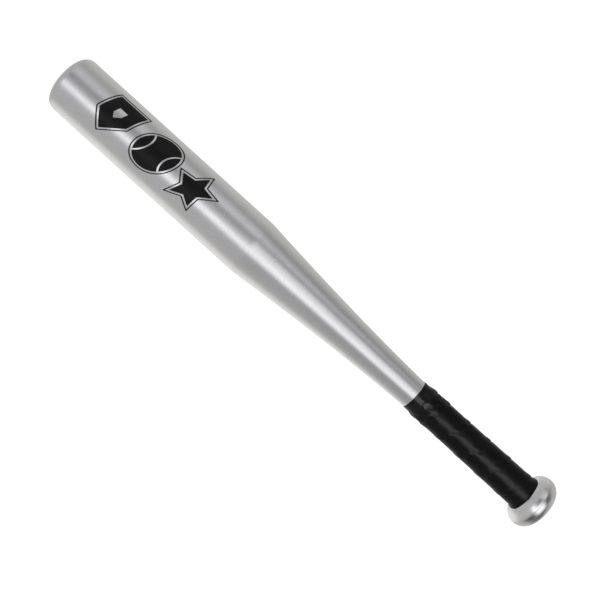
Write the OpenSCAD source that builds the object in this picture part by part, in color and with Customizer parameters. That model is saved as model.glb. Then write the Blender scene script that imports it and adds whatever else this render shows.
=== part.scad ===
// Short aluminium baseball bat, lying on its side.
// The bat's axis runs along X: the barrel end is at -X and the knob at +X.
// The barrel rests on z = 0, and the origin is under the middle of the bat.
// Inside the modules of revolution, z is the station: the distance from the
// knob's end face, measured along the bat's axis.

/* [Bat] */
// Overall length
bat_len = 531; // [460:1:640]
// Outside diameter of the barrel
barrel_dia = 52.4; // [43:0.1:58]
// Length of the cylindrical barrel, with its rounded end
barrel_len = 207; // [170:1:240]

/* [Tube] */
// Outside diameter of the handle where it is thinnest
handle_dia = 25.5; // [22:0.1:31]
// Station where the handle starts to widen towards the barrel
handle_len = 113; // [100:1:150]
// How much the handle's radius grows again towards the knob
handle_flare = 1; // [0:0.1:1.6]
// Length of that growth, from the knob up
flare_len = 72; // [40:1:80]
// Wall of the tube
wall = 2; // [1.4:0.1:2.6]
// How strongly the taper curves: 1 is a straight cone
taper_power = 1.6; // [1.2:0.05:2.2]
// Outside radius where the barrel is spun over to close its end
end_round = 7; // [4:0.5:9]
// Diameter of the hole that the spinning leaves in the barrel's end
end_hole_dia = 24; // [16:1:26]

/* [Knob] */
// Outside diameter of the knob
knob_dia = 47.6; // [42:0.1:52]
// Thickness that the knob's round section has along the bat
knob_thick = 21.8; // [18:0.2:27]
// How much of that thickness is faced off on the handle's side
knob_facing = 1.4; // [0.6:0.1:2]
// Thickness of the knob's end wall, below the socket for the handle
knob_floor = 9; // [6:0.5:11]
// Diameter of the hole through the knob's end wall
knob_hole_dia = 16; // [10:1:18]
// Leg of the weld bead between the handle and the knob
weld_leg = 1.3; // [0.8:0.1:1.6]

/* [Plugs] */
// Depth of the recess that a plug's head lies in
seat_depth = 1.6; // [1:0.1:2.4]
// Width of the ledge that a plug's head sits on
seat_ledge = 3; // [2:0.25:3.5]
// How far a plug's barb grips behind the edge of its hole
barb_grip = 1; // [0.5:0.1:1.4]
// Length of a plug's barb
barb_len = 6; // [4:0.5:9]

/* [Grip] */
// Thickness of the sticky tape under the grip
underlay_t = 0.2; // [0.1:0.05:0.4]
// Thickness of the grip's strip
strip_t = 0.75; // [0.5:0.05:1.2]
// Thickness of the strip's thinned edges
strip_edge_t = 0.55; // [0.3:0.05:0.8]
// Advance of the strip along the handle in one turn
strip_pitch = 22.5; // [16:0.25:27]
// Lap of each turn over the one before
strip_lap = 3.5; // [2:0.1:5]
// Station where the wound strip is cut off
strip_end = 133.5; // [112:0.5:150]
// Angle at which the strip starts, from straight up towards +Y
strip_turn = 155; // [-180:5:180]
// Width of the tape that closes the grip
band_w = 13; // [10:0.5:20]
// Length of that tape which lies on the strip
band_lap = 3.5; // [2:0.5:5]
// Thickness of that tape, wound twice round
band_t = 0.45; // [0.2:0.05:0.7]

/* [Printed shapes] */
// Thickness of the printed film
film_t = 0.15; // [0.08:0.01:0.25]
// Height of a shape round the barrel, with its thin outline
shape_h = 40; // [30:0.5:48]
// Width of the thin outline
outline_w = 1; // [0.6:0.1:1.6]
// Bare metal left between a shape and its outline
outline_gap = 1.4; // [1:0.1:2]
// Distance from the barrel's end to the first shape
shapes_from_end = 39; // [10:0.5:50]
// Bare metal between two shapes
shape_gap = 0.8; // [0.5:0.1:6]
// Slant of the shapes: sideways shift over height
shape_slant = 0.3; // [0:0.05:0.4]
// Turn of the shapes about the bat's axis, from straight up towards +Y
shape_turn = 9.5; // [-30:0.5:30]

/* [Hidden] */

// Clearance of a slip fit, and of thin layers laid on each other
fit_gap = 0.1;
film_gap = 0.03;

barrel_r = barrel_dia / 2;
handle_r = handle_dia / 2;
knob_r = knob_dia / 2;
// The knob is a ring with a round section, filled in the middle and faced flat towards the handle
ring_tube_r = knob_thick / 2;
ring_r = knob_r - ring_tube_r;
// Station of the knob's faced side
knob_top = knob_thick - knob_facing;
// Radius of the handle where it enters the knob
root_r = handle_r + handle_flare;
barrel_start = bat_len - barrel_len;
taper_len = barrel_start - handle_len;
taper_steps = 24;
// Stations at which the tube's outline has a corner, up to the barrel
tube_stations = concat(
    [knob_floor, knob_top, knob_top + flare_len],
    [for (i = [0:taper_steps]) handle_len + taper_len * i / taper_steps]
);
corner_steps = 10;
$fn = 96;

// Station where the weld bead ends on the handle
weld_top_z = knob_top + 2 * weld_leg;

// Grip, from the knob up
strip_w = strip_pitch + strip_lap;
strip_start = knob_top + fit_gap;
strip_ramp = 2;
strip_tail = 14;
underlay_start = weld_top_z + 0.5;
underlay_end = strip_end - 1;
// Height of two lapped edges of the strip, one on the other
lap_t = 2 * strip_edge_t + film_gap;
degrees_per_step = 10;
// Width that the strip has at its pointed end
point_w = strip_lap + strip_ramp + 2;
// In its first turn the strip is cut along the knob, so its lower edge starts a turn before that
strip_turns = 1 + (strip_end - point_w - strip_start) / strip_pitch;

// Share of the strip's thickness that is left where its tail is thinned, at a station
function strip_share(z) = 1 - 0.5 * max(0, z - (strip_end - strip_tail)) / strip_tail;

// Outside radius of the bare tube at a station, from the knob to the barrel
function tube_r(z) =
    z > barrel_start ? barrel_r :
    z > handle_len ? handle_r + (barrel_r - handle_r) * pow((z - handle_len) / taper_len, taper_power) :
    z > knob_top + flare_len ? handle_r :
    z > knob_top ? handle_r + handle_flare * (1 - (z - knob_top) / flare_len) :
    root_r;

// Inside radius of the wound strip, at the corners of its turns: it swells over the weld.
// The division keeps the flats between the corners clear of what is below.
function strip_bed_r(z) =
    (tube_r(z) + underlay_t + 2 * film_gap
    + weld_leg * max(0, 1 - (z - knob_top) / (weld_top_z + 1 - knob_top)))
    / cos(degrees_per_step / 2);

function reversed(list) = [for (i = [len(list) - 1:-1:0]) list[i]];

// Stations from one to another, with the corners of the tube's outline in between
function stations(from, to) = [from, for (z = tube_stations) if (z > from && z < to) z, to];

function arc(c, r, from, to, steps) =
    [for (i = [0:steps]) let (a = from + (to - from) * i / steps) c + r * [cos(a), sin(a)]];

// Puts a piece of revolution in its place: z becomes the station
module on_axis() {
    translate([bat_len / 2, 0, barrel_r]) rotate([0, -90, 0]) children();
}

// ---- Metal ----

// One-piece swaged and spun tube, open at the knob and closed to a hole at the barrel's end
module tube() {
    end_z = bat_len - seat_depth - wall;
    inner_round = end_round - wall;
    outside = concat(
        [for (z = tube_stations) [tube_r(z), z]],
        arc([barrel_r - end_round, bat_len - end_round], end_round, 0, 90, corner_steps),
        [
            [end_hole_dia / 2 + seat_ledge, bat_len],
            [end_hole_dia / 2 + seat_ledge, bat_len - seat_depth],
            [end_hole_dia / 2, bat_len - seat_depth]
        ]
    );
    inside = concat(
        [[end_hole_dia / 2, end_z]],
        arc([barrel_r - end_round, end_z - inner_round], inner_round, 90, 0, corner_steps),
        [for (z = reversed(tube_stations)) [tube_r(z) - wall, z]]
    );
    color("silver") on_axis() rotate_extrude() polygon(concat(outside, inside));
}

// Turned and polished knob, with a socket for the handle
module knob() {
    color("gainsboro") on_axis() difference() {
        union() {
            rotate_extrude() intersection() {
                translate([ring_r, ring_tube_r]) circle(r = ring_tube_r);
                // a thick ring's section reaches past the axis
                translate([0, -1]) square([knob_dia, knob_top + 1]);
            }
            cylinder(r = ring_r, h = knob_top);
        }
        translate([0, 0, knob_floor]) cylinder(r = root_r + fit_gap, h = knob_thick);
        translate([0, 0, -1]) cylinder(d = knob_hole_dia, h = knob_thick);
        translate([0, 0, -1]) cylinder(r = knob_hole_dia / 2 + seat_ledge - 1, h = seat_depth + 1);
    }
}

// Weld bead round the handle, on the knob's faced side
module knob_weld() {
    color("darkgray") on_axis() rotate_extrude() polygon([
        [root_r, knob_top], [root_r + weld_leg, knob_top],
        [root_r + weld_leg / 3, weld_top_z - weld_leg], [root_r, weld_top_z]
    ]);
}

// ---- Rubber plugs ----

// Snap-in plug: a head in its recess, a neck through a wall, and a barb behind it.
// It starts at the head's outer face, and points along +z.
module snap_plug(hole_dia, ledge, wall_t) {
    neck_r = hole_dia / 2 - fit_gap;
    neck_end = seat_depth + wall_t + fit_gap;
    barb_r = hole_dia / 2 + barb_grip;
    head_r = hole_dia / 2 + ledge - fit_gap;
    color([0.09, 0.09, 0.1]) rotate_extrude() polygon([
        [0, fit_gap], [head_r - 0.4, fit_gap], [head_r, fit_gap + 0.4], [head_r, seat_depth],
        [neck_r, seat_depth], [neck_r, neck_end], [barb_r, neck_end],
        [barb_r, neck_end + 1], [neck_r - 2, neck_end + barb_len], [0, neck_end + barb_len]
    ]);
}

module barrel_end_plug() {
    on_axis() translate([0, 0, bat_len]) mirror([0, 0, 1]) snap_plug(end_hole_dia, seat_ledge, wall);
}

module knob_plug() {
    on_axis() snap_plug(knob_hole_dia, seat_ledge - 1, knob_floor - seat_depth);
}

// ---- Grip ----

// A thin layer round the tube between two stations
module layer(from, to, inner, thickness) {
    rotate_extrude() polygon(concat(
        [for (z = stations(from, to)) [tube_r(z) + inner + thickness, z]],
        [for (z = reversed(stations(from, to))) [tube_r(z) + inner, z]]
    ));
}

// Double-sided tape between the handle and the strip
module grip_underlay() {
    color("beige") on_axis() layer(underlay_start, underlay_end, film_gap, underlay_t);
}

// Section of the wound strip, as [radius, station] points, at turn angle a.
// Its lower edge laps over the upper edge of the turn before.
function strip_section(a) =
    let (
        low = strip_start + strip_pitch * (a / 360 - 1),
        bottom = max(strip_start, low),
        top = min(strip_end, low + strip_w),
        // the turn before ends here, once there is a turn before
        under = low + strip_lap,
        lapped = max(0, min(1, (low - strip_start) / 1.2 + 1)),
        flat_end = max(bottom + 1, under + 0.1),
        ramp_end = min(flat_end + strip_ramp, top - 0.6),
        edge_start = max(top - strip_lap - 0.2, ramp_end + 0.3),
        lift = lapped * (strip_edge_t + film_gap),
        edge_t = strip_t + lapped * (strip_edge_t - strip_t),
        point = function (z, h) [strip_bed_r(z) + h * strip_share(z), z]
    )
    [
        point(bottom, lift), point(flat_end, lift), point(ramp_end, 0), point(top, 0),
        point(top, strip_edge_t), point(edge_start, strip_edge_t), point(ramp_end, strip_t),
        point(flat_end, lift + edge_t), point(bottom, lift + edge_t)
    ];

// The strip wound round the handle as one long helix, a left-hand one
module grip_wrap() {
    steps = ceil(strip_turns * 360 / degrees_per_step);
    angles = [for (i = [0:steps]) strip_turns * 360 * i / steps];
    sections = [for (a = angles) strip_section(a)];
    n = len(sections[0]);
    points = [
        for (i = [0:steps], p = sections[i])
        [p[0] * cos(angles[i]), p[0] * sin(angles[i]), p[1]]
    ];
    sides = [
        for (i = [0:steps - 1], j = [0:n - 1]) let (k = (j + 1) % n)
        each [[i * n + j, (i + 1) * n + j, (i + 1) * n + k], [i * n + j, (i + 1) * n + k, i * n + k]]
    ];
    ends = [[for (j = [0:n - 1]) j], [for (j = [n - 1:-1:0]) steps * n + j]];
    color([0.07, 0.07, 0.08]) on_axis() rotate([0, 0, strip_turn]) mirror([0, 1, 0])
    polyhedron(points, concat(sides, ends));
}

// Glossy tape that holds down the strip's tail, partly on the strip and partly on the tube
module grip_end_tape() {
    start = strip_end - band_lap;
    end = start + band_w;
    over = function (z) strip_bed_r(z) + lap_t * strip_share(z) + film_gap;
    down = strip_end + 1.2;
    color([0.1, 0.1, 0.1]) on_axis() rotate_extrude() polygon(concat(
        [
            [over(start), start], [over(start) + band_t * 0.6, start],
            [over(strip_end) + band_t * 0.6, strip_end]
        ],
        [for (z = stations(down + 1, end - 2)) [tube_r(z) + band_t + film_gap, z]],
        [[tube_r(end) + band_t / 2 + film_gap, end]],
        [for (z = reversed(stations(down, end))) [tube_r(z) + film_gap, z]],
        [[over(strip_end), strip_end + film_gap]]
    ));
}

// ---- Printed shapes ----

// A shape is a list of corners, and the largest circle inside it has a radius of 1.
// This gives the corners from the directions in which the edges face.
function corners(facing) = [
    for (i = [0:len(facing) - 1])
    let (
        a = facing[i], b = i + 1 < len(facing) ? facing[i + 1] : facing[0] + 360,
        m = (a + b) / 2
    ) [cos(m), sin(m)] / cos((b - a) / 2)
];
// The same for a star, from the ratio of its inner corners' distance to its points'
function star_corners(points, ratio) =
    let (
        half = 180 / points,
        edge = sqrt(1 + ratio * ratio - 2 * ratio * cos(half)),
        inside = ratio * sin(half) / edge
    )
    [for (i = [0:2 * points - 1]) (i % 2 == 0 ? 1 : ratio) / inside * [cos(90 + half * i), sin(90 + half * i)]];

home_plate = corners([0, 90, 180, 225, 315]);
ball = arc([0, 0], 1, 0, 352, 44);
star = star_corners(5, 0.5);

function xs(shape) = [for (p = shape) p[0]];
function ys(shape) = [for (p = shape) p[1]];
function size_of(shape) = shape_h / (max(ys(shape)) - min(ys(shape)));
function middle_of(shape) = (max(ys(shape)) + min(ys(shape))) / 2;

// The shape at its full size, centred in height and slanted
function slanted(shape) =
    let (size = size_of(shape), middle = middle_of(shape))
    [for (p = shape) let (y = size * (p[1] - middle)) [size * p[0] + shape_slant * y, y]];

// Distance from the barrel's end to the middle of a shape, each next to the one before
shapes = [home_plate, ball, star];
function shape_place(i) =
    i == 0 ? shapes_from_end - min(xs(slanted(shapes[0]))) :
    shape_place(i - 1) + max(xs(slanted(shapes[i - 1]))) + shape_gap - min(xs(slanted(shapes[i])));

// A shape laid round the barrel, seen from outside, with an inner circle of radius size.
// raise moves it up along the slant.
module wrapped(shape, size, raise) {
    longest_step = 6;
    polygon([
        for (i = [0:len(shape) - 1])
        let (
            from = size * shape[i],
            edge = size * shape[(i + 1) % len(shape)] - from,
            steps = ceil(norm(edge) / longest_step)
        )
        for (j = [0:steps - 1])
        let (p = from + edge * j / steps + [0, raise])
        [p[0] + shape_slant * p[1], barrel_r * sin(p[1] / barrel_r * 180 / PI)]
    ]);
}

// One printed shape and a thin outline round it. Its children are cut out of the shape.
module print(i) {
    shape = shapes[i];
    size = size_of(shape);
    raise = -middle_of(shape) * size;
    film_in = barrel_r + film_gap;
    color([0.05, 0.05, 0.06])
    translate([shape_place(i) - bat_len / 2, 0, barrel_r])
    rotate([-shape_turn, 0, 0]) intersection() {
        linear_extrude(barrel_r + film_t + 1) {
            difference() {
                wrapped(shape, size, raise);
                wrapped(shape, size - outline_w, raise);
            }
            difference() {
                wrapped(shape, size - outline_w - outline_gap, raise);
                children();
            }
        }
        rotate([0, 90, 0]) difference() {
            cylinder(r = film_in + film_t, h = 4 * shape_h, center = true);
            cylinder(r = film_in, h = 5 * shape_h, center = true);
        }
    }
}

// Home plate, with a small one left bare in it
module print_home_plate() {
    size = size_of(home_plate);
    print(0) wrapped(home_plate, size / 4, -middle_of(home_plate) * size);
}

// Ball, with its two seams left bare
module print_ball() {
    size = size_of(ball);
    seam_t = outline_gap / size / 2;
    module seam(side) {
        middle = [side * 1.2, 0];
        turn = side > 0 ? 180 : 0;
        wrapped(concat(
            arc(middle, 0.75 + seam_t, turn - 62, turn + 62, 16),
            arc(middle, 0.75 - seam_t, turn + 62, turn - 62, 16)
        ), size, 0);
    }
    print(1) { seam(-1); seam(1); }
}

module print_star() { print(2); }

tube();
barrel_end_plug();
knob();
knob_weld();
knob_plug();
grip_underlay();
grip_wrap();
grip_end_tape();
print_home_plate();
print_ball();
print_star();
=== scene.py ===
import math

import bmesh
import bpy
import numpy as np
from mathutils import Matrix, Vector, noise
from mathutils.geometry import delaunay_2d_cdt


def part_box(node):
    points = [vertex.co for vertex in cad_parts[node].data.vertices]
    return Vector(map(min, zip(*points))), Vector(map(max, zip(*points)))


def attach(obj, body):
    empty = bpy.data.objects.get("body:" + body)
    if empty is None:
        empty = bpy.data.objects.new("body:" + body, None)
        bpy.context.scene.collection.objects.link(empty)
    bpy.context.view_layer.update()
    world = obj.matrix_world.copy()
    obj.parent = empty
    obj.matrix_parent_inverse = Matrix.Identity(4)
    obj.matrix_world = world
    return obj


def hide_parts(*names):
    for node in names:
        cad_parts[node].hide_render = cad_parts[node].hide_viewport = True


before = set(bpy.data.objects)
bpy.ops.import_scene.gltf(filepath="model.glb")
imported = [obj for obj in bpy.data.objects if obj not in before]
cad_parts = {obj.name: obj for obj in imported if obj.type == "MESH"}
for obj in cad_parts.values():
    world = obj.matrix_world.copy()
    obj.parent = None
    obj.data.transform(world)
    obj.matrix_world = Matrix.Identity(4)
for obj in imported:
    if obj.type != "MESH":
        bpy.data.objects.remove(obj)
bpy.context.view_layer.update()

# ---- Sizes in millimetres, as in the CAD source ----

MM = 0.001
TUBE_LO, TUBE_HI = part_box("tube")
END_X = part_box("knob")[1].x  # the knob's end face, where stations count from
AXIS_Z = (TUBE_LO.z + TUBE_HI.z) / 2
BAT_LEN = (END_X - TUBE_LO.x) / MM
BARREL_R = (TUBE_HI.z - TUBE_LO.z) / 2 / MM

FIT_GAP, FILM_GAP = 0.1, 0.03
HANDLE_R, HANDLE_LEN = 12.75, 113
HANDLE_FLARE, FLARE_LEN = 1.0, 72
ROOT_R = HANDLE_R + HANDLE_FLARE
WALL = 2.0
TAPER_POWER = 1.6
BARREL_LEN = 207
BARREL_START = BAT_LEN - BARREL_LEN
END_ROUND = 7.0
END_HOLE_R = 12.0
SEAT_DEPTH, SEAT_LEDGE = 1.6, 3.0
BARB_GRIP, BARB_LEN = 1.0, 6.0

KNOB_R, KNOB_THICK, KNOB_FLOOR = 23.8, 21.8, 9.0
KNOB_FACING, KNOB_EDGE = 1.4, 0.8
KNOB_TOP = KNOB_THICK - KNOB_FACING
KNOB_HOLE_R, KNOB_LEDGE = 8.0, 2.0
RING_TUBE_R = KNOB_THICK / 2
RING_R = KNOB_R - RING_TUBE_R
WELD_LEG = 1.3
WELD_TOP = KNOB_TOP + 2 * WELD_LEG

UNDERLAY_T = 0.2
STRIP_T, STRIP_EDGE_T = 0.75, 0.55
STRIP_PITCH, STRIP_LAP = 22.5, 3.5
STRIP_W = STRIP_PITCH + STRIP_LAP
STRIP_START, STRIP_END, STRIP_TAIL = KNOB_TOP + FIT_GAP, 133.5, 14
STRIP_RAMP = 2.0
POINT_W = STRIP_LAP + STRIP_RAMP + 2
STRIP_TURNS = 1 + (STRIP_END - POINT_W - STRIP_START) / STRIP_PITCH
STRIP_ANGLE = math.radians(155)
BAND_W, BAND_LAP, BAND_T = 13, 3.5, 0.45
BAND_SLOPE = 5.5  # length over which the tape comes down from the strip to the tube
PUCKER, SOFT_FOLD, TAIL_FOLD, BAND_FOLD = 0.3, 0.07, 0.4, 0.22  # depths of the grip's folds

FILM_T = 0.08  # thinner than the film in the CAD source
SHAPE_H = 40.0
OUTLINE_W, OUTLINE_GAP = 1.0, 1.4
SHAPES_FROM_END, SHAPE_GAP = 39.0, 0.8
SHAPE_SLANT, SHAPE_TURN = 0.3, math.radians(9.5)


def smooth(x, low=0.0, high=1.0):
    """0 below low, 1 above high, and a smooth step between them."""
    x = min(1.0, max(0.0, (x - low) / (high - low)))
    return x * x * (3 - 2 * x)


def tube_r(u):
    """Outside radius of the bare tube at a station."""
    if u > BARREL_START:
        return BARREL_R
    if u > HANDLE_LEN:
        share = (u - HANDLE_LEN) / (BARREL_START - HANDLE_LEN)
        return HANDLE_R + (BARREL_R - HANDLE_R) * share**TAPER_POWER
    return HANDLE_R + HANDLE_FLARE * min(1.0, max(0.0, 1 - (u - KNOB_TOP) / FLARE_LEN))


def place(u, r, a):
    """World position of a station, a radius and an angle from the top towards +Y."""
    return (END_X - u * MM, r * math.sin(a) * MM, AXIS_Z + r * math.cos(a) * MM)


def ripple(u, r, a, scale, seed):
    """Smooth unevenness from -1 to 1, on the surface at a station and an angle."""
    return noise.noise(Vector((u / scale, r * math.cos(a) / scale + seed, r * math.sin(a) / scale)))


# ---- Mesh helpers ----


def finished(name, bm, sharp=35):
    """Makes a piece from a bmesh: it faces outwards, is shaded smooth, and rides on the bat."""
    bmesh.ops.recalc_face_normals(bm, faces=bm.faces)
    mesh = bpy.data.meshes.new(name)
    bm.to_mesh(mesh)
    bm.free()
    mesh.shade_smooth()
    mesh.set_sharp_from_angle(angle=math.radians(sharp))
    obj = bpy.data.objects.new(name, mesh)
    bpy.context.scene.collection.objects.link(obj)
    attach(obj, "root")
    return obj


def grid(name, points, wrap, sharp=35):
    """A piece from a grid of points. Its rows close on themselves, and so do its columns if wrap is set;
    otherwise the first and last row are closed with a face."""
    rows, across = len(points), len(points[0])
    bm = bmesh.new()
    uv = bm.loops.layers.uv.new("UVMap")
    verts = [[bm.verts.new(p) for p in row] for row in points]
    for i in range(rows if wrap else rows - 1):
        for j in range(across):
            corners = [(i, j), (i + 1, j), (i + 1, j + 1), (i, j + 1)]
            face = bm.faces.new([verts[m % rows][n % across] for m, n in corners])
            for loop, (m, n) in zip(face.loops, corners):
                loop[uv].uv = (m / rows, n / across)
    if not wrap:
        bm.faces.new(verts[0])
        bm.faces.new(verts[-1])
    bmesh.ops.remove_doubles(bm, verts=bm.verts, dist=1e-7)
    return finished(name, bm, sharp)


def rounded(points, radius, steps=4, closed=True):
    """The line of points with its corners rounded off."""
    out = []
    count = len(points)
    for i, point in enumerate(points):
        if not closed and i in (0, count - 1):
            out.append(point)
            continue
        here = Vector(point)
        back, on = Vector(points[i - 1]) - here, Vector(points[(i + 1) % count]) - here
        turn = math.pi - back.angle(on)
        if turn < math.radians(15):
            out.append(point)
            continue
        cut = min(radius * math.tan(turn / 2), back.length * 0.45, on.length * 0.45)
        start, end = here + back.normalized() * cut, here + on.normalized() * cut
        for k in range(steps + 1):
            s = k / steps
            out.append(tuple(start * (1 - s) ** 2 + here * (2 * s * (1 - s)) + end * s**2))
    return out


def resampled(points, longest, closed=True):
    """The line of points with its long steps divided."""
    out = []
    for i in range(len(points) if closed else len(points) - 1):
        start, end = Vector(points[i]), Vector(points[(i + 1) % len(points)])
        parts = max(1, math.ceil((end - start).length / longest))
        out += [tuple(start.lerp(end, k / parts)) for k in range(parts)]
    return out if closed else out + [points[-1]]


def arc(middle, radius, start, end, steps):
    """Points on an arc, in degrees."""
    angles = [math.radians(start + (end - start) * k / steps) for k in range(steps + 1)]
    return [(middle[0] + radius * math.cos(a), middle[1] + radius * math.sin(a)) for a in angles]


def revolved(name, profile, segments=160, wave=0.0, wave_scale=30, seed=0.0):
    """A piece of revolution from (station, radius) points, uneven by wave where it faces outwards."""
    points = []
    for i in range(segments):
        a = 2 * math.pi * i / segments
        row = []
        for u, r in profile:
            uneven = wave * ripple(u, r, a, wave_scale, seed) if wave and r > 0 else 0
            row.append(place(u, r + uneven, a))
        points.append(row)
    return grid(name, points, wrap=True)


# ---- Metal pieces ----


def make_tube():
    end = BAT_LEN - SEAT_DEPTH - WALL
    inner_round = END_ROUND - WALL
    taper = [HANDLE_LEN + (BARREL_START - HANDLE_LEN) * k / 70 for k in range(71)]
    stations = [KNOB_FLOOR, KNOB_TOP, KNOB_TOP + FLARE_LEN, *taper]
    corner = (BAT_LEN - END_ROUND, BARREL_R - END_ROUND)
    outside = [(u, tube_r(u)) for u in stations]
    outside += arc(corner, END_ROUND, 90, 0, 16)
    outside += [
        (BAT_LEN, END_HOLE_R + SEAT_LEDGE),
        (BAT_LEN - SEAT_DEPTH, END_HOLE_R + SEAT_LEDGE),
        (BAT_LEN - SEAT_DEPTH, END_HOLE_R),
    ]
    inside = [(end, END_HOLE_R)]
    inside += arc((end - inner_round, BARREL_R - END_ROUND), inner_round, 0, 90, 12)
    inside += [(u, tube_r(u) - WALL) for u in reversed(stations)]
    profile = resampled(rounded(outside, 0.25), 3)[:-1] + resampled(inside, 12, closed=False)
    return revolved("bat_tube", profile, 192, wave=0.012, wave_scale=14, seed=3.1)


def make_knob():
    mouth_r = ROOT_R + FIT_GAP
    top_turn = math.degrees(math.asin((KNOB_TOP - RING_TUBE_R) / RING_TUBE_R))
    head_r = KNOB_HOLE_R + KNOB_LEDGE
    ring = [(u, r) for r, u in arc((RING_R, RING_TUBE_R), RING_TUBE_R, -90, top_turn, 64)]
    profile = [
        (KNOB_FLOOR, KNOB_HOLE_R),
        (SEAT_DEPTH, KNOB_HOLE_R),
        (SEAT_DEPTH, head_r),
        (0, head_r),
        *ring,
        (KNOB_TOP, mouth_r),
        (KNOB_FLOOR, mouth_r),
    ]
    profile = rounded(profile, KNOB_EDGE)
    return revolved("bat_knob", profile, 192, wave=0.02, wave_scale=9, seed=8.4)


# ---- Rubber plugs ----


def make_plug(name, face_u, direction, hole_r, ledge, wall_t, rings):
    """A snap-in plug whose face lies at station face_u, with its barb towards direction."""
    head_r = hole_r + ledge - FIT_GAP
    neck_r, barb_r = hole_r - FIT_GAP, hole_r + BARB_GRIP
    neck_end = SEAT_DEPTH + wall_t + FIT_GAP
    groove = 0.35
    face = [(FIT_GAP + 0.5, 0), (FIT_GAP + 0.5, hole_r * 0.16), (FIT_GAP, hole_r * 0.2)]
    for r in rings:
        face += [(FIT_GAP, r - groove), (FIT_GAP + groove, r), (FIT_GAP, r + groove)]
    line = [
        *face,
        (FIT_GAP, head_r),
        (SEAT_DEPTH, head_r),
        (SEAT_DEPTH, neck_r),
        (neck_end, neck_r),
        (neck_end, barb_r),
        (neck_end + 1, barb_r),
        (neck_end + BARB_LEN, neck_r - 2),
        (neck_end + BARB_LEN, 0),
    ]
    line = rounded(line, 0.35, closed=False)
    profile = [(face_u + direction * u, r) for u, r in line]
    return revolved(name, profile, 120)


# ---- Grip ----


def strip_share(u):
    """Share of the strip's thickness that is left where its tail is thinned."""
    return 1 - 0.5 * min(1.0, max(0.0, u - (STRIP_END - STRIP_TAIL)) / STRIP_TAIL)


def pucker(u, a):
    """Tension wrinkles across each lap of the wound strip, the other way up on its other side."""
    turns = (u - STRIP_START) / STRIP_PITCH - (STRIP_ANGLE - a) / (2 * math.pi)
    off = (turns - round(turns)) * STRIP_PITCH / 1.9
    depth = PUCKER * smooth(u, STRIP_START + 12, STRIP_START + 45)
    depth *= 0.75 + 0.5 * ripple(u, HANDLE_R, a, 16, 6.1)
    return depth * (1 + off * math.exp(0.5 - 0.5 * off * off) * math.sin(10 * a + 0.3))


def wrinkle(u, a):
    """How far the wound layers stand off the handle at a station and an angle: deeper folds at the tail."""
    r = HANDLE_R
    tail = smooth(u, STRIP_END - 19, STRIP_END - 12) * (1 - smooth(u, STRIP_END - 3, STRIP_END + 3))
    soft = 0.5 + 0.5 * ripple(u, r, a, 7, 1.7)
    fold = 1 - abs(ripple(u, r, a, 5.5, 5.2)) * 3.2
    laps = pucker(u, a) * (1 - smooth(u, STRIP_END - 2, STRIP_END + 3))
    return SOFT_FOLD * soft + laps + TAIL_FOLD * tail * max(0.0, fold)


def strip_bed(u, a):
    """Inside radius of the wound strip: it swells over the weld."""
    swell = WELD_LEG * max(0.0, 1 - (u - KNOB_TOP) / (WELD_TOP + 1 - KNOB_TOP))
    return tube_r(u) + UNDERLAY_T + 2 * FILM_GAP + swell + 0.05 + wrinkle(u, a)


def strip_section(turn, points_across):
    """The strip's section after that many turns: one closed line of (station, height over its bed)."""
    low = STRIP_START + STRIP_PITCH * (turn - 1)
    bottom, top = max(STRIP_START, low), min(STRIP_END, low + STRIP_W)
    under = low + STRIP_LAP
    lapped = smooth((low - STRIP_START) / 1.2 + 1)
    flat_end = max(bottom + 1, under + 0.1)
    lift = lapped * (STRIP_EDGE_T + FILM_GAP)
    outer, inner = [], []
    for k in range(points_across):
        s = 0.5 - 0.5 * math.cos(math.pi * k / (points_across - 1))
        u = bottom + (top - bottom) * s
        over = 1 - smooth(u, flat_end, flat_end + STRIP_RAMP)
        thin = max(lapped * over, smooth(u, top - STRIP_LAP - 2.5, top - STRIP_LAP))
        body = STRIP_T + (STRIP_EDGE_T - STRIP_T) * thin
        crown = 0.08 * math.sin(math.pi * (u - bottom) / (top - bottom))
        edge = min(1.0, min(u - bottom, top - u) / 0.45)
        rim = body * 0.35 * (1 - math.sqrt(max(0.0, 1 - (1 - edge) ** 2)))
        share = strip_share(u)
        outer.append((u, (lift * over + body + crown * (1 - thin) - rim) * share))
        inner.append((u, (lift * over + rim) * share))
    return outer + inner[::-1]


def make_grip():
    steps = math.ceil(STRIP_TURNS * 150)
    rows = []
    for i in range(steps + 1):
        turn = STRIP_TURNS * i / steps
        a = STRIP_ANGLE - 2 * math.pi * turn  # seen from above, it winds towards -Y
        rows.append([place(u, strip_bed(u, a) + h, a) for u, h in strip_section(turn, 22)])
    return grid("grip_strip", rows, wrap=False, sharp=50)


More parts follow.
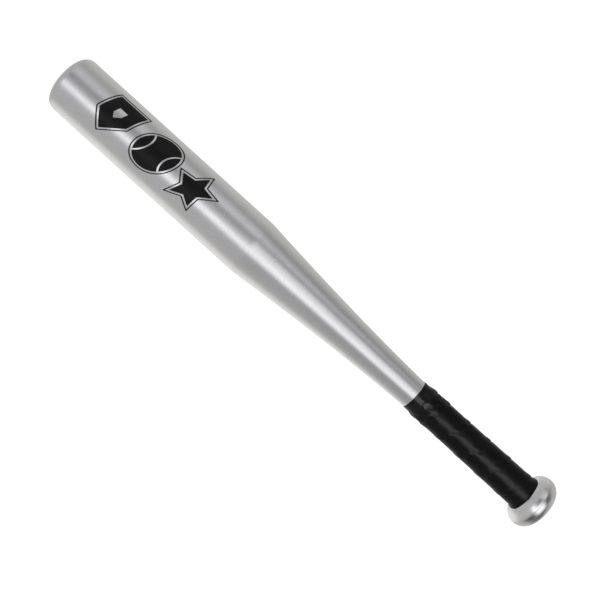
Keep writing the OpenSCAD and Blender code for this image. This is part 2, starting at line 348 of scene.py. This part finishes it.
def make_band():
    """Glossy tape over the strip's tail: its lower edge runs uneven, and it shrinks onto the tube above."""
    lap_t = 2 * STRIP_EDGE_T + FILM_GAP
    segments, across = 180, 30
    rows = []
    for i in range(segments):
        a = 2 * math.pi * i / segments
        start = STRIP_END - BAND_LAP - 0.8 * ripple(0, HANDLE_R, a, 6, 9.3)
        end = STRIP_END - BAND_LAP + BAND_W + 0.15 * ripple(0, HANDLE_R, a, 8, 2.3)
        outer, inner = [], []
        for k in range(across):
            s = 0.5 - 0.5 * math.cos(math.pi * k / (across - 1))
            u = start + (end - start) * s
            on_strip = 1 - smooth(u, STRIP_END - 0.2, STRIP_END + BAND_SLOPE)
            bed = (strip_bed(u, a) + lap_t * strip_share(u)) * on_strip + tube_r(u) * (1 - on_strip)
            bed += FILM_GAP
            fold = max(0.0, ripple(u, HANDLE_R, a, 3.1, 4.4)) * BAND_FOLD * smooth(end - u, 1, 9)
            ply = BAND_T * (0.55 + 0.45 * smooth(u, start + 1.5, start + 2.2))
            edge = min(1.0, min(u - start, end - u) / 0.3)
            rim = ply * 0.4 * (1 - math.sqrt(max(0.0, 1 - (1 - edge) ** 2)))
            outer.append((u, bed + ply + fold - rim))
            inner.append((u, bed + rim))
        rows.append([place(u, r, a) for u, r in outer + inner[::-1]])
    return grid("grip_band", rows, wrap=True, sharp=50)


# ---- Printed shapes ----


def corners(facing):
    """Corners of the shape whose edges face these directions, in degrees, round a circle of radius 1."""
    out = []
    for i, a in enumerate(facing):
        b = facing[i + 1] if i + 1 < len(facing) else facing[0] + 360
        middle, half = math.radians((a + b) / 2), math.radians((b - a) / 2)
        out.append((math.cos(middle) / math.cos(half), math.sin(middle) / math.cos(half)))
    return out


def star_corners(count, ratio):
    half = math.pi / count
    edge = math.sqrt(1 + ratio * ratio - 2 * ratio * math.cos(half))
    inside = ratio * math.sin(half) / edge
    out = []
    for i in range(2 * count):
        size, a = (1 if i % 2 == 0 else ratio) / inside, math.pi / 2 + half * i
        out.append((size * math.cos(a), size * math.sin(a)))
    return out


HOME_PLATE = corners([0, 90, 180, 225, 315])
BALL = arc((0, 0), 1, 0, 357, 119)
STAR = star_corners(5, 0.5)
SHAPES = [HOME_PLATE, BALL, STAR]


def size_of(shape):
    ys = [p[1] for p in shape]
    return SHAPE_H / (max(ys) - min(ys))


def middle_of(shape):
    ys = [p[1] for p in shape]
    return (max(ys) + min(ys)) / 2


def drawn(shape, size, lift):
    """The shape at a size, slanted, as points on the unrolled barrel."""
    line = [(size * x + SHAPE_SLANT * (size * y + lift), size * y + lift) for x, y in shape]
    return resampled(rounded(line, 0.35, 3), 1.5)


def shape_places():
    """Distance from the barrel's end to the middle of each shape."""
    places, reach = [], SHAPES_FROM_END - SHAPE_GAP
    for shape in SHAPES:
        size, middle = size_of(shape), middle_of(shape)
        xs = [size * x + SHAPE_SLANT * size * (y - middle) for x, y in shape]
        places.append(reach + SHAPE_GAP - min(xs))
        reach = places[-1] + max(xs)
    return places


SHAPE_PLACES = shape_places()


def seams():
    """The ball's two seams, as closed lines in the ball's own size."""
    half = OUTLINE_GAP / size_of(BALL) / 2
    out = []
    for middle, turn in ((-1.2, 0), (1.2, 180)):
        line = arc((middle, 0), 0.75 + half, turn - 62, turn + 62, 24)
        out.append(line + arc((middle, 0), 0.75 - half, turn + 62, turn - 62, 24))
    return out


def inside(point, loop):
    """Whether a point is inside a closed line."""
    found = False
    for i, (x, y) in enumerate(loop):
        x0, y0 = loop[i - 1]
        if (y > point[1]) != (y0 > point[1]) and point[0] < x0 + (point[1] - y0) * (x - x0) / (y - y0):
            found = not found
    return found


def make_print(name, index, cut_out):
    """One printed shape with its thin outline, as a closed film laid on the barrel."""
    shape = SHAPES[index]
    size = size_of(shape)
    lift = -middle_of(shape) * size
    rim, rim_in, fill = (
        drawn(shape, s, lift) for s in (size, size - OUTLINE_W, size - OUTLINE_W - OUTLINE_GAP)
    )
    holes = [drawn(c, s, lift) for c, s in cut_out]
    points, edges = [], []
    for loop in [rim, rim_in, fill, *holes]:
        first = len(points)
        points += [Vector(p) for p in loop]
        edges += [(first + i, first + (i + 1) % len(loop)) for i in range(len(loop))]
    points, _, triangles, *_ = delaunay_2d_cdt(points, edges, [], 0, 1e-5)
    bm = bmesh.new()
    verts = [bm.verts.new((p.x, p.y, 0)) for p in points]
    for triangle in triangles:
        middle = sum((points[i] for i in triangle), Vector((0, 0))) / 3
        in_rim = inside(middle, rim) and not inside(middle, rim_in)
        in_fill = inside(middle, fill) and not any(inside(middle, hole) for hole in holes)
        if in_rim or in_fill:
            bm.faces.new([verts[i] for i in triangle])
    bmesh.ops.delete(bm, geom=[v for v in bm.verts if not v.link_faces], context="VERTS")
    for y in np.arange(-SHAPE_H / 2 + 1.23, SHAPE_H / 2, 1.6):
        geometry = bm.verts[:] + bm.edges[:] + bm.faces[:]
        bmesh.ops.bisect_plane(bm, geom=geometry, plane_co=(0, y, 0), plane_no=(0, 1, 0), dist=1e-4)
    made = bmesh.ops.extrude_face_region(bm, geom=bm.faces[:], use_keep_orig=True)
    for v in made["geom"]:
        if isinstance(v, bmesh.types.BMVert):
            v.co.z = FILM_T
    middle = SHAPE_PLACES[index]
    for v in bm.verts:
        u = BAT_LEN - middle - v.co.x
        v.co = place(u, BARREL_R + FILM_GAP + v.co.z, v.co.y / BARREL_R + SHAPE_TURN)
    return finished(name, bm)


# ---- Materials ----


def node(tree, kind, inputs=None, **props):
    """A shader node. An input given a socket is linked to it, and any other value is set."""
    made = tree.nodes.new("ShaderNode" + kind)
    for key, value in props.items():
        setattr(made, key, value)
    for key, value in (inputs or {}).items():
        if isinstance(value, bpy.types.NodeSocket):
            tree.links.new(value, made.inputs[key])
        else:
            made.inputs[key].default_value = value
    return made


def material(name, **values):
    """A material, its node tree and its Principled shader, with plain values set by socket name."""
    mat = bpy.data.materials.new(name)
    mat.use_nodes = True
    shader = mat.node_tree.nodes["Principled BSDF"]
    for key, value in values.items():
        shader.inputs[key.replace("_", " ")].default_value = value
    return mat, mat.node_tree, shader


def object_noise(tree, scale, detail=3.0, roughness=0.55, stretch=(1, 1, 1)):
    """Noise in the object's own space, with scale in features per metre."""
    coords = node(tree, "TexCoord").outputs["Object"]
    moved = node(tree, "Mapping", {"Vector": coords, "Scale": stretch}).outputs["Vector"]
    made = node(tree, "TexNoise", {"Vector": moved, "Scale": scale, "Detail": detail, "Roughness": roughness})
    return made.outputs["Fac"]


def mapped(tree, value, low, high, start=0.25, end=0.75):
    """The value, spread from start..end to low..high."""
    inputs = {"Value": value, "From Min": start, "From Max": end, "To Min": low, "To Max": high}
    return node(tree, "MapRange", inputs).outputs["Result"]


def mixed(tree, factor, first, second):
    """A colour between two."""
    made = node(tree, "Mix", {"Factor": factor}, data_type="RGBA")
    for socket, colour in ((6, first), (7, second)):
        if isinstance(colour, bpy.types.NodeSocket):
            tree.links.new(colour, made.inputs[socket])
        else:
            made.inputs[socket].default_value = (*colour, 1)
    return made.outputs[2]


def bumped(tree, height, distance, normal=None):
    """A bump that many metres high."""
    inputs = {"Height": height, "Distance": distance, "Strength": 1.0}
    if normal is not None:
        inputs["Normal"] = normal
    return node(tree, "Bump", inputs).outputs["Normal"]


def satin_aluminium():
    mat, tree, bsdf = material("satin_aluminium", Metallic=1.0, Anisotropic=0.65, Anisotropic_Rotation=0.25)
    grain = object_noise(tree, 1, 4, 0.6, (1900, 45, 45))
    cloud = object_noise(tree, 26, 3, 0.5, (1, 2.2, 2.2))
    speck = object_noise(tree, 420, 2, 0.5)
    tone = mixed(tree, mapped(tree, grain, 0, 1), (0.76, 0.765, 0.775), (0.86, 0.86, 0.865))
    tone = mixed(tree, mapped(tree, cloud, 0, 0.35), tone, (0.74, 0.735, 0.73))
    rough = node(
        tree,
        "Math",
        {0: mapped(tree, cloud, 0.25, 0.32), 1: mapped(tree, speck, -0.02, 0.03)},
        operation="ADD",
    ).outputs[0]
    tangent = node(tree, "Tangent", direction_type="UV_MAP", uv_map="UVMap").outputs[0]
    tree.links.new(tone, bsdf.inputs["Base Color"])
    tree.links.new(rough, bsdf.inputs["Roughness"])
    tree.links.new(tangent, bsdf.inputs["Tangent"])
    tree.links.new(bumped(tree, grain, 0.000004), bsdf.inputs["Normal"])
    return mat


def polished_aluminium():
    mat, tree, bsdf = material("polished_aluminium", Metallic=1.0)
    rings = object_noise(tree, 1, 3, 0.6, (900, 30, 30))
    smear = object_noise(tree, 70, 4, 0.6)
    tone = mixed(tree, mapped(tree, smear, 0, 1), (0.80, 0.79, 0.78), (0.88, 0.88, 0.885))
    tree.links.new(tone, bsdf.inputs["Base Color"])
    tree.links.new(mapped(tree, smear, 0.13, 0.24), bsdf.inputs["Roughness"])
    tree.links.new(bumped(tree, rings, 0.000006), bsdf.inputs["Normal"])
    return mat


def weld_aluminium():
    mat, tree, bsdf = material("weld_aluminium", Metallic=1.0)
    ripples = object_noise(tree, 650, 3, 0.6, (1, 0.5, 0.5))
    tone = mixed(tree, mapped(tree, ripples, 0, 1), (0.52, 0.51, 0.5), (0.74, 0.73, 0.72))
    tree.links.new(tone, bsdf.inputs["Base Color"])
    tree.links.new(mapped(tree, ripples, 0.3, 0.5), bsdf.inputs["Roughness"])
    tree.links.new(bumped(tree, ripples, 0.00015), bsdf.inputs["Normal"])
    return mat


def plug_rubber():
    mat, tree, bsdf = material("plug_rubber", Specular_IOR_Level=0.35)
    fine = object_noise(tree, 2600, 3, 0.6)
    dust = object_noise(tree, 160, 5, 0.65)
    tone = mixed(tree, mapped(tree, dust, 0, 1, 0.35, 0.75), (0.014, 0.014, 0.015), (0.035, 0.034, 0.033))
    tree.links.new(tone, bsdf.inputs["Base Color"])
    tree.links.new(mapped(tree, dust, 0.48, 0.68), bsdf.inputs["Roughness"])
    tree.links.new(bumped(tree, fine, 0.00003), bsdf.inputs["Normal"])
    return mat


def sticky_tape():
    mat, tree, bsdf = material("sticky_tape", Specular_IOR_Level=0.4)
    fibre = object_noise(tree, 1, 4, 0.6, (300, 1500, 1500))
    tone = mixed(tree, mapped(tree, fibre, 0, 1), (0.62, 0.55, 0.4), (0.74, 0.68, 0.54))
    tree.links.new(tone, bsdf.inputs["Base Color"])
    tree.links.new(mapped(tree, fibre, 0.5, 0.7), bsdf.inputs["Roughness"])
    tree.links.new(bumped(tree, fibre, 0.00002), bsdf.inputs["Normal"])
    return mat


def grip_leatherette():
    mat, tree, bsdf = material(
        "grip_leatherette", Specular_IOR_Level=0.105, Coat_Weight=0.08, Coat_Roughness=0.2, Coat_IOR=1.35
    )
    coords = node(tree, "TexCoord").outputs["Object"]
    cells = node(tree, "TexVoronoi", {"Vector": coords, "Scale": 1500.0}, feature="SMOOTH_F1")
    pebbles = cells.outputs["Distance"]
    creases = object_noise(tree, 420, 4, 0.6, (1, 0.45, 0.45))
    worn = object_noise(tree, 60, 3, 0.6)
    raised = mapped(tree, pebbles, 0, 1, 0.1, 0.8)
    tone = mixed(tree, raised, (0.0042, 0.0042, 0.0048), (0.0015, 0.0015, 0.0018))
    tone = mixed(tree, mapped(tree, worn, 0, 0.5, 0.45, 0.8), tone, (0.007, 0.007, 0.0077))
    tree.links.new(tone, bsdf.inputs["Base Color"])
    tree.links.new(mapped(tree, worn, 0.27, 0.38), bsdf.inputs["Roughness"])
    normal = bumped(tree, creases, 0.00012)
    tree.links.new(bumped(tree, pebbles, 0.00004, normal), bsdf.inputs["Normal"])
    return mat


def gloss_tape():
    mat, tree, bsdf = material("gloss_tape", Specular_IOR_Level=0.14, Coat_Weight=0.1, Coat_Roughness=0.1)
    pull = object_noise(tree, 300, 3, 0.5, (1, 0.3, 0.3))
    scuff = object_noise(tree, 900, 4, 0.6)
    tone = mixed(tree, mapped(tree, scuff, 0, 1), (0.003, 0.003, 0.0034), (0.007, 0.007, 0.0075))
    tree.links.new(tone, bsdf.inputs["Base Color"])
    tree.links.new(mapped(tree, scuff, 0.16, 0.28), bsdf.inputs["Roughness"])
    tree.links.new(bumped(tree, pull, 0.0001), bsdf.inputs["Normal"])
    return mat


def black_print():
    mat, tree, bsdf = material("black_print", Specular_IOR_Level=0.2)
    cover = object_noise(tree, 1, 3, 0.6, (1500, 90, 90))
    peel = object_noise(tree, 1100, 2, 0.5)
    tone = mixed(tree, mapped(tree, cover, 0, 1), (0.004, 0.004, 0.0045), (0.01, 0.01, 0.0105))
    tree.links.new(tone, bsdf.inputs["Base Color"])
    tree.links.new(mapped(tree, peel, 0.28, 0.4), bsdf.inputs["Roughness"])
    tree.links.new(bumped(tree, peel, 0.000012), bsdf.inputs["Normal"])
    return mat


def floor_paper():
    mat, tree, bsdf = material("floor_paper", Roughness=0.9, Emission_Strength=0.85)
    fibre = object_noise(tree, 300, 3, 0.5)
    tree.links.new(mixed(tree, fibre, (0.86, 0.86, 0.855), (0.88, 0.88, 0.875)), bsdf.inputs["Base Color"])
    bsdf.inputs["Emission Color"].default_value = (1, 1, 0.995, 1)
    return mat


def dress(obj, mat):
    obj.data.materials.clear()
    obj.data.materials.append(mat)


# ---- Pieces and their finish ----

satin = satin_aluminium()
rubber = plug_rubber()
ink = black_print()

tube = make_tube()
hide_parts("tube")
dress(tube, satin)

knob = make_knob()
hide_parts("knob")
dress(knob, polished_aluminium())

dress(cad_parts["knob_weld"], weld_aluminium())
dress(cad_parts["grip_underlay"], sticky_tape())

barrel_plug = make_plug("plug_barrel_end", BAT_LEN, -1, END_HOLE_R, SEAT_LEDGE, WALL, (6.5, 11))
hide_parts("barrel_end_plug")
dress(barrel_plug, rubber)

knob_plug = make_plug("plug_knob", 0, 1, KNOB_HOLE_R, KNOB_LEDGE, KNOB_FLOOR - SEAT_DEPTH, (5.5,))
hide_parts("knob_plug")
dress(knob_plug, rubber)

grip = make_grip()
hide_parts("grip_wrap")
dress(grip, grip_leatherette())

band = make_band()
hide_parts("grip_end_tape")
dress(band, gloss_tape())

PRINTS = [
    ("film_home_plate", "print_home_plate", [(HOME_PLATE, size_of(HOME_PLATE) / 4)]),
    ("film_ball", "print_ball", [(seam, size_of(BALL)) for seam in seams()]),
    ("film_star", "print_star", []),
]
for index, (name, cad_node, cut_out) in enumerate(PRINTS):
    film = make_print(name, index, cut_out)
    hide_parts(cad_node)
    dress(film, ink)


# ---- Studio ----


def make_floor(size):
    half = size / 2
    mesh = bpy.data.meshes.new("floor")
    outline = [(-half, -half, 0), (half, -half, 0), (half, half, 0), (-half, half, 0)]
    mesh.from_pydata(outline, [], [(0, 1, 2, 3)])
    floor = bpy.data.objects.new("floor", mesh)
    bpy.context.scene.collection.objects.link(floor)
    floor.visible_glossy = False
    dress(floor, floor_paper())


# Brightness of the studio. Each band gives it round the bat's axis, as degrees from straight up with -Y
# positive and a brightness, and belongs to one X of the direction. From above, the barrel mirrors the
# bands at -0.36 and -0.05, the taper and the handle those at 0.12 and 0.215, and the knob all of them.
BARREL_BAND = [
    (-180, 0.74), (-148, 0.60), (-113, 0.54), (-80, 0.36), (-62, 0.53), (-45, 0.62), (-37, 0.52),
    (-27, 0.24), (-18, 0.22), (-9, 0.33), (0, 0.54), (8, 0.96), (15, 1.20), (22, 1.10), (30, 0.64),
    (38, 0.49), (90, 0.49), (100, 0.57), (113, 0.77), (128, 0.86), (148, 0.91), (180, 0.74),
]
KNOB_BAND = [
    (-180, 0.70), (-148, 0.52), (-113, 0.46), (-90, 0.44), (-76, 0.26), (-60, 0.12), (-44, 0.12),
    (-32, 0.40), (-21, 1.00), (-11, 1.20), (0, 1.25), (11, 1.20), (21, 1.05), (32, 0.46), (44, 0.14),
    (62, 0.10), (80, 0.18), (100, 0.42), (118, 0.48), (135, 0.54), (150, 0.62), (180, 0.70),
]
STUDIO = [
    (-0.60, [
        (-180, 0.60), (-148, 0.54), (-113, 0.50), (-80, 0.46), (-45, 0.46), (-20, 0.44), (0, 0.46),
        (15, 0.52), (30, 0.50), (60, 0.46), (100, 0.48), (130, 0.50), (150, 0.54), (180, 0.60),
    ]),
    (-0.36, BARREL_BAND),
    (-0.05, BARREL_BAND),
    (0.12, [
        (-180, 0.74), (-148, 0.60), (-113, 0.53), (-89, 0.42), (-79, 0.31), (-69, 0.36), (-60, 0.70),
        (-51, 0.88), (-43, 0.86), (-35, 0.34), (-27, 0.52), (-19, 0.82), (-11, 0.94), (0, 1.10),
        (11, 1.34), (19, 1.48), (27, 1.24), (35, 0.46), (43, 0.43), (69, 0.44), (89, 0.44), (100, 0.50),
        (113, 0.66), (128, 0.82), (150, 0.90), (180, 0.74),
    ]),
    (0.215, [
        (-180, 0.74), (-148, 0.56), (-113, 0.46), (-84, 0.25), (-68, 0.18), (-52, 0.26), (-40, 0.27),
        (-31, 0.40), (-21, 0.94), (-11, 1.36), (0, 1.47), (11, 1.50), (19, 1.26), (26, 0.62),
        (35, 0.38), (48, 0.39), (80, 0.39), (100, 0.48), (118, 0.62), (135, 0.82), (150, 0.90),
        (180, 0.74),
    ]),
    (0.30, [
        (-180, 0.70), (-148, 0.52), (-113, 0.46), (-84, 0.36), (-60, 0.24), (-40, 0.26), (-21, 0.44),
        (0, 0.56), (19, 0.52), (35, 0.36), (60, 0.34), (100, 0.46), (135, 0.54), (150, 0.62),
        (180, 0.70),
    ]),
    (0.42, KNOB_BAND),
    (0.72, KNOB_BAND),
    (0.88, [
        (-180, 0.60), (-120, 0.50), (-80, 0.46), (-50, 0.40), (-25, 0.42), (0, 0.50), (25, 0.40),
        (50, 0.20), (80, 0.17), (120, 0.19), (150, 0.30), (180, 0.60),
    ]),
    (0.96, [
        (-180, 0.45), (-120, 0.45), (-80, 0.42), (-50, 0.30), (-20, 0.16), (20, 0.13), (60, 0.13),
        (120, 0.16), (150, 0.22), (180, 0.45),
    ]),
]
BACKDROP = (0.93, 0.93, 0.925)  # the studio as the camera sees it, behind the floor
SOFTBOX_DISTANCE = 1.55
FLOOR_SIZE = 12
CAMERA_PLACE = (-0.0003, -0.0057, 0.733)
CAMERA_TURN = math.radians(42.225)
CAMERA_LENS, CAMERA_SENSOR = 51.0, 36.0


def make_world():
    """A grey studio, painted by the angle round the bat's axis and by the X of the direction, warmer when
    low. The camera sees a plain pale backdrop in its place."""
    world = bpy.data.worlds.new("studio")
    bpy.context.scene.world = world
    world.use_nodes = True
    tree = world.node_tree
    direction = node(tree, "TexCoord").outputs["Generated"]
    parts = node(tree, "SeparateXYZ", {0: direction}).outputs
    side = node(tree, "Math", {0: parts["Y"], 1: -1.0}, operation="MULTIPLY").outputs[0]
    angle = node(tree, "Math", {0: side, 1: parts["Z"]}, operation="ARCTAN2").outputs[0]
    share = mapped(tree, angle, 0, 1, -math.pi, math.pi)
    for k, (x, band) in enumerate(STUDIO):
        ramp = node(tree, "ValToRGB", {0: share})
        stops = ramp.color_ramp.elements
        while len(stops) < len(band):
            stops.new(0.5)
        for stop, (degrees, value) in zip(stops, band):
            warm = smooth(abs(degrees), 40, 115)
            stop.position = (degrees + 180) / 360
            stop.color = (value, value * 0.99, value * (1.015 - 0.05 * warm), 1)
        colour = ramp.outputs["Color"]
        if k == 0:
            light = colour
        else:
            along = mapped(tree, parts["X"], 0, 1, STUDIO[k - 1][0], x)
            light = mixed(tree, along, light, colour)
    seen = node(tree, "LightPath").outputs["Is Camera Ray"]
    tree.links.new(mixed(tree, seen, light, BACKDROP), tree.nodes["Background"].inputs["Color"])


def make_softbox(name, x, angle, length, width, radiance):
    """A long area light facing the bat's axis, at an angle in degrees from straight up towards -Y."""
    light = bpy.data.lights.new(name, "AREA")
    light.shape = "RECTANGLE"
    light.size, light.size_y = length, width
    light.energy = radiance * math.pi * length * width
    obj = bpy.data.objects.new(name, light)
    bpy.context.scene.collection.objects.link(obj)
    lean = math.radians(angle)
    obj.location = (x, -SOFTBOX_DISTANCE * math.sin(lean), AXIS_Z + SOFTBOX_DISTANCE * math.cos(lean))
    obj.rotation_euler = (lean, 0, 0)
    return obj


def make_camera():
    """The photograph's view: straight down."""
    data = bpy.data.cameras.new("camera")
    data.lens, data.sensor_width = CAMERA_LENS, CAMERA_SENSOR
    data.clip_start, data.clip_end = 0.05, 50
    camera = bpy.data.objects.new("camera", data)
    camera.location = CAMERA_PLACE
    camera.rotation_euler = (0, 0, CAMERA_TURN)
    bpy.context.scene.collection.objects.link(camera)
    bpy.context.scene.camera = camera


make_floor(FLOOR_SIZE)
make_world()
grip_light = make_softbox("grip_softbox", 0.5, 8, 2.0, 0.86, 3.5)
dark_pieces = bpy.data.collections.new("dark_pieces")
for piece in (grip, band):
    dark_pieces.objects.link(piece)
grip_light.light_linking.receiver_collection = dark_pieces
make_camera()
bpy.context.scene.view_settings.view_transform = "Standard"
